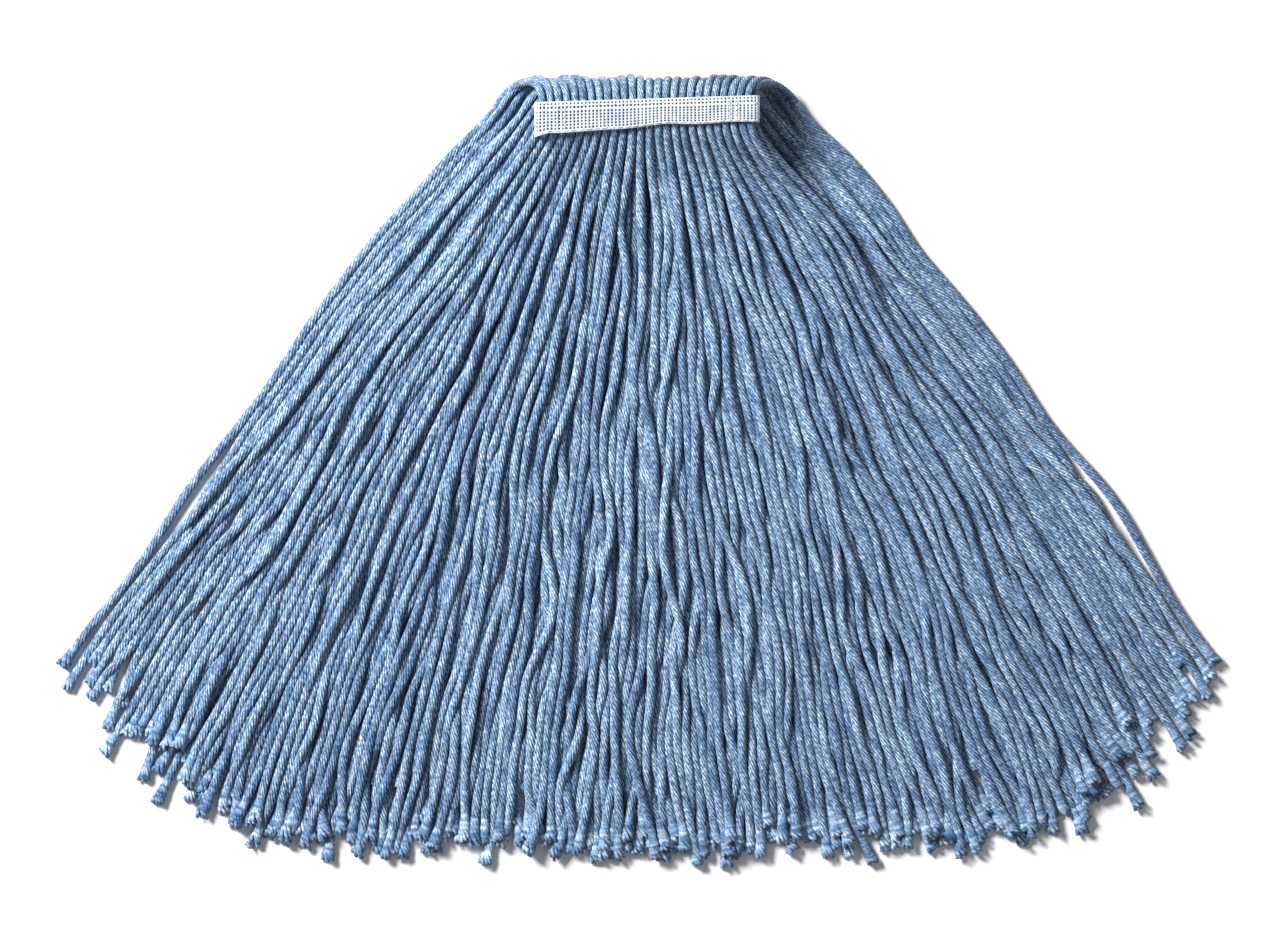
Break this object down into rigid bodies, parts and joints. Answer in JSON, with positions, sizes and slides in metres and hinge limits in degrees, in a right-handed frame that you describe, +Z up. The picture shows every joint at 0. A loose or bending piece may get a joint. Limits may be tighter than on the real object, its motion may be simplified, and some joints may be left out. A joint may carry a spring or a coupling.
{
  "type": "string mop head",
  "caption": "Cut-end string mop head: a fanned bundle of blended yarn strands, sewn across the middle by a white mesh headband and folded over it.",
  "frame": {"origin": "centre of the footprint, on the floor that the folded head lies on", "axes": "+X along the headband to its right end, +Y from the tips towards the headband and the fold, +Z up out of the headband's face"},
  "size_m": [0.746, 0.5156, 0.0519],
  "materials": {
    "yarn": "loosely twisted multi-ply cotton blend, light blue melange",
    "mesh_tape": "open knitted mesh tape, white",
    "sewing_thread": "twisted polyester thread, white"
  },
  "bodies": {
    "back_half": {"back_strands_layer_1": "yarn", "back_strands_layer_2": "yarn", "back_strands_layer_3": "yarn", "back_strands_layer_4": "yarn", "back_strands_layer_5": "yarn", "fold_loops_layer_1": "yarn", "fold_loops_layer_2": "yarn", "fold_loops_layer_3": "yarn", "fold_loops_layer_4": "yarn", "fold_loops_layer_5": "yarn"},
    "front_half": {"front_strands_layer_1": "yarn", "front_strands_layer_2": "yarn", "front_strands_layer_3": "yarn", "front_strands_layer_4": "yarn", "front_strands_layer_5": "yarn", "headband_tape": "mesh_tape", "stitch_row_upper": "sewing_thread", "stitch_row_lower": "sewing_thread", "end_tacks_left": "sewing_thread", "end_tacks_right": "sewing_thread"}
  },
  "joints": [
    {"name": "head_fold", "type": "hinge", "parent": "back_half", "child": "front_half", "pos_m": [0, 0.23572, 0.02596], "axis": [-1, 0, 0], "range_deg": [0, 180], "deforming": ["fold_loops_layer_1", "fold_loops_layer_2", "fold_loops_layer_3", "fold_loops_layer_4", "fold_loops_layer_5"]}
  ]
}
